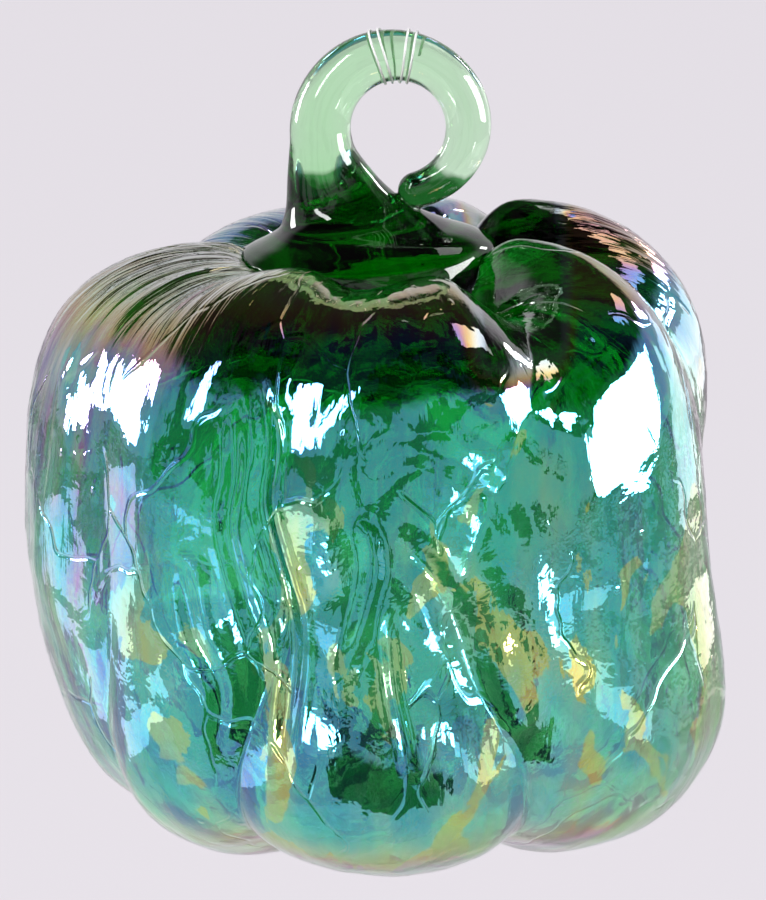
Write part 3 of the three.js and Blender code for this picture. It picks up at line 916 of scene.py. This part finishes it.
@dataclass
class Stem:
    """The solid stem: a foot laid on the body, and a rod that is drawn up from it and curled into a loop."""

    body: BlownBody
    eye_radius: float = 5.17
    rod_diameters: tuple[float, ...] = (6.7, 6.0, 5.2, 4.9, 4.0)
    stem_direction: float = 190.0
    tip_direction: float = -74.0
    root_height: float = 11.0
    sections: tuple[Section, ...] = (
        (-1.4, 5.5, 16.5, 10.0),
        (2.6, 8.7, 18.7, 12.0),
        (4.8, 9.7, 19.5, 12.4),
        (6.9, 9.8, 19.8, 12.0),
        (8.3, 7.9, 19.5, 11.0),
        (9.3, 6.0, 18.7, 9.8),
        (10.3, 4.5, 16.9, 8.2),
        (11.3, 3.9, 13.7, 6.6),
        (12.8, 3.4, 10.1, 5.2),
        (15.0, 3.2, 7.3, 4.2),
        (17.2, 3.2, 5.3, 3.6),
        (19.4, 3.1, 3.7, 3.2),
        (21.0, 2.7, 2.9, 2.8),
    )
    plug_depth: float = 4.4
    plug_root: float = 1.6
    seat_gap: float = 0.04
    fillet: float = 1.6
    tip_fillet: float = 0.5
    pitch: float = 0.25
    heights: Array | None = None
    low: Array = field(default_factory=lambda: np.array([-20.5, -14.0, -32.5]))
    high: Array = field(default_factory=lambda: np.array([13.0, 14.0, 6.5]))

    def rod_diameter(self, direction: Array) -> Array:
        """The rod's diameter in directions, in degrees, from the middle of the loop's hole."""
        return along(self.rod_diameters, (self.stem_direction - direction) / (self.stem_direction - self.tip_direction))

    def rod_middle(self, direction: Array) -> Array:
        """The middle of the rod in directions from the middle of the hole."""
        reach = self.eye_radius + self.rod_diameter(direction) / 2
        angle = np.radians(direction)
        x, z = reach * np.cos(angle), reach * np.sin(angle) - self.eye_radius
        return np.stack([x, np.zeros_like(x), z], axis=-1)

    def rod_distance(self, points: Array) -> Array:
        """The distance to the rod: round its circle, down its straight root, and over its rounded tip.

        Args:
            points: points, in millimetres.

        Returns:
            Distances, less than nothing inside.
        """
        x, y, z = points[..., 0], points[..., 1], points[..., 2]
        level = z + self.eye_radius
        direction = np.degrees(np.arctan2(level, x))
        direction = np.where(direction < self.tip_direction - 48, direction + 360, direction)
        held = np.clip(direction, self.tip_direction, self.stem_direction)
        radius = self.rod_diameter(held) / 2
        middle = self.rod_middle(held)
        round_part = np.sqrt((x - middle[..., 0]) ** 2 + y**2 + (z - middle[..., 2]) ** 2) - radius
        top = self.rod_middle(np.array(self.stem_direction))
        thick = float(self.rod_diameter(np.array(self.stem_direction))) / 2
        root_z = self.body.seat_z + self.root_height
        root_part = np.sqrt((x - top[0]) ** 2 + y**2 + (z - np.clip(z, root_z, top[2])) ** 2) - thick
        return np.minimum(round_part, root_part)

    def foot_distance(self, points: Array) -> Array:
        """The distance to the foot: at each height an ellipse, whose reach to each side is read from the sections.

        The ellipse's own measure is divided by the length of its slope, so that it is near the true distance.
        """
        table = [along(column, np.linspace(0, 1, 400)) for column in zip(*self.sections)]

        def measure(x: Array, y: Array, z: Array) -> Array:
            """How far outside the ellipse at its height each point is, on the scale of its lesser half axis."""
            left, right, depth = (np.interp(z - self.body.seat_z, table[0], column) for column in table[1:])
            middle = self.rod_axis_x + (right - left) / 2
            half = (right + left) / 2
            return (np.sqrt(((x - middle) / half) ** 2 + (y / depth) ** 2 + 1e-9) - 1) * np.minimum(half, depth)

        x, y, z = points[..., 0], points[..., 1], points[..., 2]
        here = measure(x, y, z)
        step = 0.05
        slope = np.sqrt(
            ((measure(x + step, y, z) - here) / step) ** 2
            + ((measure(x, y + step, z) - here) / step) ** 2
            + ((measure(x, y, z + step) - here) / step) ** 2
        )
        side = here / np.maximum(slope, 0.3)
        return np.maximum(side, z - (self.body.seat_z + self.sections[-1][0]))

    @property
    def rod_axis_x(self) -> float:
        """The x of the rod's upright root."""
        return -self.eye_radius - self.rod_diameters[0] / 2

    def body_distance(self, points: Array) -> Array:
        """How far points lie over the body's top, square to it, from the map of its heights."""
        place = (points[..., :2] - self.low[:2]) / self.pitch
        limit = np.array(self.heights.shape) - 1.001
        place = np.clip(place, 0, limit)
        cell = place.astype(int)
        share = place - cell
        i, j = cell[..., 0], cell[..., 1]
        u, v = share[..., 0], share[..., 1]
        h = self.heights
        near = h[i, j] * (1 - v) + h[i, j + 1] * v
        far = h[i + 1, j] * (1 - v) + h[i + 1, j + 1] * v
        height = near * (1 - u) + far * u
        slope = np.hypot(far - near, (h[i, j + 1] - h[i, j])) / self.pitch
        return (points[..., 2] - height) / np.sqrt(1 + slope**2)

    def drawn_distance(self, points: Array) -> Array:
        """The distance to the foot and the rod, run together in a fillet, before they meet the body."""
        low = smooth(-points[..., 0], 1.5, 4.5) * smooth(-points[..., 2], 6.5, 12.0)
        fillet = self.tip_fillet + (self.fillet - self.tip_fillet) * low
        return blend_least(self.rod_distance(points), self.foot_distance(points), fillet)

    def distance(self, points: Array) -> Array:
        """The distance to the whole stem: foot and rod, less the body, and the plug."""
        x, y, z = points[..., 0], points[..., 1], points[..., 2]
        drawn = -blend_least(-self.drawn_distance(points), self.body_distance(points) - self.seat_gap, 0.35)
        radius = np.hypot(x - self.body.axis_offsets[0], y)
        neck = self.body.neck_radius - 0.3
        level = z - self.body.seat_z
        dome = (np.sqrt((radius / neck) ** 2 + (np.minimum(level, 0) / self.plug_depth) ** 2) - 1) * self.plug_depth
        plug = np.maximum(np.where(level > 0, radius - neck, dome), level - self.plug_root)
        return np.minimum(drawn, plug)

    def net(self) -> tuple[Array, Array]:
        """Covers the stem's surface with a net of four-sided faces.

        Each cell of a grid that the surface passes through has one point, the mean of where the surface crosses
        the cell's edges, and each grid edge that it crosses has one face, through the four cells round the edge.

        Returns:
            The points, and the faces' corner numbers.
        """
        axes = [np.arange(low, high + self.pitch / 2, self.pitch) for low, high in zip(self.low, self.high)]
        grid = np.stack(np.meshgrid(*axes, indexing="ij"), axis=-1)
        values = np.concatenate([self.distance(slab) for slab in np.array_split(grid, 12)])
        inside = values < 0
        corner_steps = np.array([(i, j, k) for i in (0, 1) for j in (0, 1) for k in (0, 1)])
        shape = np.array(values.shape) - 1
        total = sum(
            inside[i : i + shape[0], j : j + shape[1], k : k + shape[2]].astype(np.int8) for i, j, k in corner_steps
        )
        cells = np.argwhere((total > 0) & (total < 8))
        corners = cells[:, None, :] + corner_steps[None]
        held = values[corners[..., 0], corners[..., 1], corners[..., 2]]
        crossing_sum, crossing_count = np.zeros((len(cells), 3)), np.zeros(len(cells))
        for first in range(8):
            for second in range(first + 1, 8):
                if np.abs(corner_steps[first] - corner_steps[second]).sum() != 1:
                    continue
                one, two = held[:, first], held[:, second]
                crossed = (one < 0) != (two < 0)
                t = np.where(crossed, one / np.where(crossed, one - two, 1.0), 0.0)[:, None]
                place = corner_steps[first] * (1 - t) + corner_steps[second] * t
                crossing_sum += place * crossed[:, None]
                crossing_count += crossed
        points = self.low + (cells + crossing_sum / crossing_count[:, None]) * self.pitch
        number = np.full(shape, -1)
        number[cells[:, 0], cells[:, 1], cells[:, 2]] = np.arange(len(cells))
        quads = []
        for axis in range(3):
            u, v = (axis + 1) % 3, (axis + 2) % 3
            ahead = np.zeros(3, int)
            ahead[axis] = 1
            start = [slice(1, -1)] * 3
            start[axis] = slice(0, -1)
            stop = [slice(1, -1)] * 3
            stop[axis] = slice(1, None)
            here, there = inside[tuple(start)], inside[tuple(stop)]
            edge = np.argwhere(here != there)
            origin = np.ones(3, int)
            origin[axis] = 0
            edge_cell = edge + origin
            ring = []
            for du, dv in ((-1, -1), (0, -1), (0, 0), (-1, 0)):
                cell = edge_cell.copy()
                cell[:, u] += du
                cell[:, v] += dv
                ring.append(number[cell[:, 0], cell[:, 1], cell[:, 2]])
            ring = np.stack(ring, axis=-1)
            outward = here[tuple(edge.T)]
            quads.append(np.where(outward[:, None], ring, ring[:, ::-1]))
        return points, np.concatenate(quads)

    def settled(self, points: Array, quads: Array) -> Array:
        """Evens the net out and lays it on the surface.

        Each pass moves every point half way to the mean of its faces' middles, then along the distance's slope by
        the distance, three times.
        """
        for _ in range(3):
            middles = points[quads].mean(axis=1)
            total, count = np.zeros_like(points), np.zeros(len(points))
            for corner in range(4):
                for axis in range(3):
                    total[:, axis] += np.bincount(quads[:, corner], middles[:, axis], len(points))
                count += np.bincount(quads[:, corner], minlength=len(points))
            points = points * 0.5 + total / count[:, None] * 0.5
            for _ in range(3):
                value = self.distance(points)
                step = 0.02
                slope = np.stack(
                    [(self.distance(points + step * axis) - self.distance(points - step * axis)) / (2 * step)
                     for axis in np.eye(3)],
                    axis=-1,
                )
                size = np.maximum((slope**2).sum(axis=-1), 0.2)
                points = points - np.clip(value / size, -0.1, 0.1)[:, None] * slope
        return points

    def build(self) -> bpy.types.Object:
        """Builds the stem as one closed piece."""
        self.heights = self.body.height_map(self.low[:2], self.high[:2], self.pitch)
        points, quads = self.net()
        points = self.settled(points, quads)
        piece = mesh_piece("stem_and_loop_glass", points, quads)
        in_neck = np.hypot(points[:, 0] - self.body.axis_offsets[0], points[:, 1]) > self.body.neck_radius - 0.45
        in_neck &= np.abs(points[:, 2] - self.body.seat_z) < 1.4
        on_body = (self.body_distance(points) < 0.2) & (self.drawn_distance(points) < -0.1)
        point_values(piece, "seam", (on_body | in_neck).astype(float))
        return piece


# ---- The hanging line ----------------------------------------------------------------------------------------------


@dataclass
class HangingLine:
    """The clear line that is wound round the crown of the loop."""

    stem: Stem
    diameter: float = 0.28
    clearance: float = 0.02
    crossings: tuple[float, ...] = (115, 105.8, 106.6, 97, 101.6, 88.2, 84, 79.4, 79, 70)
    steps_per_turn: int = 72
    sides: int = 12

    def middle(self, turn: Array) -> Array:
        """The line's middle at counts of turns.

        A circle round the rod's section, whose direction from the hole's middle is read along the crossings.

        Args:
            turn: turns from 0, behind the rod, round by its inner side.

        Returns:
            The points of the middle.
        """
        direction = along(self.crossings, (2 * turn + 0.5) / (len(self.crossings) - 1))
        reach = (self.stem.rod_diameter(direction) + self.diameter) / 2 + self.clearance
        angle, compass = 2 * math.pi * turn, np.radians(direction)
        outwards = np.stack([np.cos(compass), np.zeros_like(compass), np.sin(compass)], axis=-1)
        offset = -(reach * np.sin(angle))[:, None] * outwards
        offset[:, 1] += reach * np.cos(angle)
        return self.stem.rod_middle(direction) + offset

    def build(self) -> bpy.types.Object:
        """Builds the line as a round tube along its middle, straight for its own thickness at each end."""
        turns = len(self.crossings) // 2 - 1
        path = self.middle(np.linspace(0, turns, turns * self.steps_per_turn + 1))
        first, last = path[0] - path[1], path[-1] - path[-2]
        start = path[0] + first / np.linalg.norm(first) * self.diameter
        end = path[-1] + last / np.linalg.norm(last) * self.diameter
        path = np.concatenate([[start], path, [end]])
        ahead = np.gradient(path, axis=0)
        ahead /= np.linalg.norm(ahead, axis=1, keepdims=True)
        across = np.cross([1.0, 0.0, 0.0], ahead)
        across /= np.linalg.norm(across, axis=1, keepdims=True)
        third = np.cross(ahead, across)
        angle = np.linspace(0, 2 * math.pi, self.sides, endpoint=False)
        spokes = np.cos(angle)[None, :, None] * across[:, None] + np.sin(angle)[None, :, None] * third[:, None]
        rings = path[:, None] + spokes * self.diameter / 2
        return skin("hanging_line_nylon", rings, path[0], path[-1])


# ---- The studio ----------------------------------------------------------------------------------------------------


@dataclass(frozen=True)
class Window:
    """A soft box that is seen in glass alone: its compass direction, from the camera's side to the right, and its
    rise, in degrees, its width and height in metres, its radiance, and its distance in metres."""

    name: str
    compass: float
    rise: float
    width: float
    tall: float
    radiance: float = 26.0
    distance: float = 1.0

    def build(self) -> bpy.types.Object:
        """Makes the lamp, turned to the ornament."""
        data = bpy.data.lights.new(self.name, "AREA")
        data.shape, data.size, data.size_y = "RECTANGLE", self.width, self.tall
        data.energy = self.radiance * self.width * self.tall * math.pi
        lamp = bpy.data.objects.new(self.name, data)
        bpy.context.scene.collection.objects.link(lamp)
        turn, up = math.radians(self.compass), math.radians(self.rise)
        out = Vector((math.sin(turn) * math.cos(up), -math.cos(turn) * math.cos(up), math.sin(up)))
        lamp.location = Vector((0.0, 0.0, -0.05)) + out * self.distance
        lamp.rotation_mode = "QUATERNION"
        lamp.rotation_quaternion = out.to_track_quat("Z", "Y")
        lamp.visible_camera = lamp.visible_diffuse = lamp.visible_transmission = False
        return lamp


@dataclass
class Studio:
    """A pale floor, soft lamps, pale surroundings under a dark ceiling, and the camera."""

    backdrop: tuple[float, float, float] = (0.830, 0.792, 0.845)
    floor_z: float = -0.235
    target: tuple[float, float, float] = (-1.65, 0.0, -41.05)
    distance: float = 700.0
    elevation: float = 12.0
    lens: float = 254.5
    key: Window = Window("key", -30.0, 50.0, 0.8, 0.8, 7.0)
    windows: tuple[Window, ...] = (
        Window("left window", -108.0, 13.0, 0.24, 0.44, 20.0),
        Window("left strip", -46.0, 34.0, 0.12, 0.62, 17.0),
        Window("right window", 82.0, 14.5, 0.64, 0.64, 17.0),
        Window("back window", 133.0, 30.0, 0.12, 0.18),
        Window("roof light", 118.0, 58.0, 0.34, 0.24, 2.4),
        Window("left card", -35.0, -23.0, 0.050, 0.055, 16.0, 0.386),
        Window("right card", 40.0, -15.5, 0.034, 0.040, 14.0, 0.381),
        Window("left side paper", -112.0, -13.0, 0.200, 0.110, 1.5, 0.5),
        Window("right side paper", 138.0, -2.0, 0.50, 0.60, 1.3),
        Window("left paper", -49.0, -13.2, 0.075, 0.050, 1.2, 0.377),
        Window("right paper", 47.4, -18.3, 0.095, 0.050, 1.4, 0.379),
        Window("right low paper", 72.4, -21.4, 0.160, 0.060, 1.1, 0.365),
        Window("left low paper", -98.6, -30.5, 0.260, 0.090, 1.3, 0.325),
    )

    def camera(self) -> None:
        """Makes the camera, level with the photograph's."""
        data = bpy.data.cameras.new("camera")
        data.lens, data.sensor_width = self.lens, 36.0
        data.clip_start, data.clip_end = 0.01, 50.0
        camera = bpy.data.objects.new("camera", data)
        bpy.context.scene.collection.objects.link(camera)
        rise = math.radians(self.elevation)
        back = Vector((0.0, -math.cos(rise), math.sin(rise)))
        camera.location = Vector(self.target) * MM + back * self.distance * MM
        camera.rotation_mode = "QUATERNION"
        camera.rotation_quaternion = (-back).to_track_quat("-Z", "Y")
        bpy.context.scene.camera = camera

    def floor(self) -> None:
        """Makes the floor: a level sheet, shaped by rows from its front edge to its far one."""
        x, share = np.meshgrid(np.linspace(-3000, 3000, 61), np.linspace(0, 1, 9))
        front = -130 - np.clip(np.abs(x) - 90, 0, 450) * 1.75
        y = front + (5200 - front) * share
        points = np.stack([x, y, np.full_like(x, self.floor_z / MM)], axis=-1).reshape(-1, 3)
        index = np.arange(61 * 9).reshape(9, 61)
        quads = np.stack([index[:-1, :-1], index[:-1, 1:], index[1:, 1:], index[1:, :-1]], axis=-1).reshape(-1, 4)
        floor = mesh_piece("floor", points, quads)
        material, write = new_material("pale floor")
        rays = write.add("LightPath").outputs
        place = write.add("TexCoord").outputs["Object"]
        y = write.add("SeparateXYZ", None, Vector=place).outputs[1]
        far = write.maths("MULTIPLY", rays["Is Transmission Ray"], write.spread(y, 0.30, 0.55))
        papers = write.spread(write.noise(place, 5.0, 2.0, 1.6), 0.50, 0.515, 0.05, 1.0)
        papers = write.maths("MULTIPLY", rays["Is Glossy Ray"], papers)
        seen = write.maths("MAXIMUM", write.maths("MAXIMUM", rays["Is Camera Ray"], papers), far)
        lit = write.add("BsdfDiffuse", None, Color=(*self.backdrop, 1.0))
        even = write.add("Emission", None, Color=(*self.backdrop, 1.0), Strength=1.0)
        share = write.maths("MULTIPLY", seen, 0.9)
        above = write.add("MixShader", None, _0=share, _1=lit.outputs[0], _2=even.outputs[0])
        below = write.add("NewGeometry").outputs["Backfacing"]
        clear = write.add("BsdfTransparent")
        both = write.add("MixShader", None, _0=below, _1=above.outputs[0], _2=clear.outputs[0])
        write.add("OutputMaterial", None, Surface=both.outputs[0])
        floor.data.materials.append(material)

    def surroundings(self) -> None:
        """Makes the world: pale all round at the camera's level, dark overhead and towards the camera."""
        world = bpy.data.worlds.new("studio")
        world.use_nodes = True
        world.node_tree.nodes.clear()
        bpy.context.scene.world = world
        write = Nodes(world.node_tree)
        rays = write.add("LightPath").outputs
        way = write.add("TexCoord").outputs["Generated"]
        _, y, z = write.add("SeparateXYZ", None, Vector=way).outputs
        room = write.spread(write.noise(way, 3.1, 2.0, 0.8), 0.48, 0.505, 0.12, 0.78)
        room = write.maths("MULTIPLY", room, write.spread(z, -0.56, -0.48, 0.06, 1.0))
        behind = write.maths("MAXIMUM", room, write.spread(y, -0.25, 0.05, 0.06, 1.0))
        through = write.spread(y, -0.9, 0.0, 0.6, 1.0)
        mirrored = write.maths("MULTIPLY", write.spread(z, 0.50, 0.68, 1.0, 0.04), behind)
        bent = write.maths("MULTIPLY", write.spread(z, 0.42, 0.56, 1.0, 0.04), through)
        level = write.add("Mix", {"data_type": "FLOAT"}, Factor=rays["Is Glossy Ray"], A=bent, B=mirrored).outputs[0]
        level = write.add("Mix", {"data_type": "FLOAT"}, Factor=rays["Is Diffuse Ray"], A=level, B=0.3).outputs[0]
        level = write.add("Mix", {"data_type": "FLOAT"}, Factor=rays["Is Camera Ray"], A=level, B=1.0).outputs[0]
        shown = write.add("Background", None, Color=(*self.backdrop, 1.0), Strength=level)
        write.add("OutputWorld", None, Surface=shown.outputs[0])

    def build(self) -> None:
        """Makes everything round the ornament."""
        self.camera()
        self.floor()
        self.surroundings()
        for window in self.windows:
            window.build()
        key = self.key.build()
        key.visible_diffuse, key.visible_glossy, key.visible_transmission = True, False, False
        bpy.context.scene.view_settings.view_transform = "Standard"
        log.info("studio: floor, surroundings, %d windows, a key lamp and a camera", len(self.windows))


def dress(piece: bpy.types.Object, material: bpy.types.Material, node: str) -> None:
    """Gives a piece its material, hangs it from the root and hides the CAD node that it stands for, naming it in the
    log.

    Args:
        piece: the finished piece.
        material: its material.
        node: the CAD node that it replaces.
    """
    piece.data.materials.append(material)
    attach(piece, "root")
    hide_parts(node)
    log.info("%s stands for %s", piece.name, node)


def main() -> None:
    """Builds the ornament and its studio."""
    logging.basicConfig(level=logging.INFO, format="%(name)s: %(message)s")
    Studio().build()
    relief = blown_relief_group()
    body = BlownBody()
    stem = Stem(body)
    bubble = body.build()
    dress(stem.build(), ClearGlass().material(relief), "stem_and_loop")
    body.mark_seam(bubble, stem)
    dress(bubble, IridescentGlass().material(relief), "blown_body")
    dress(HangingLine(stem).build(), ClearNylon().material(), "hanging_line")


if __name__ == "__main__":
    main()
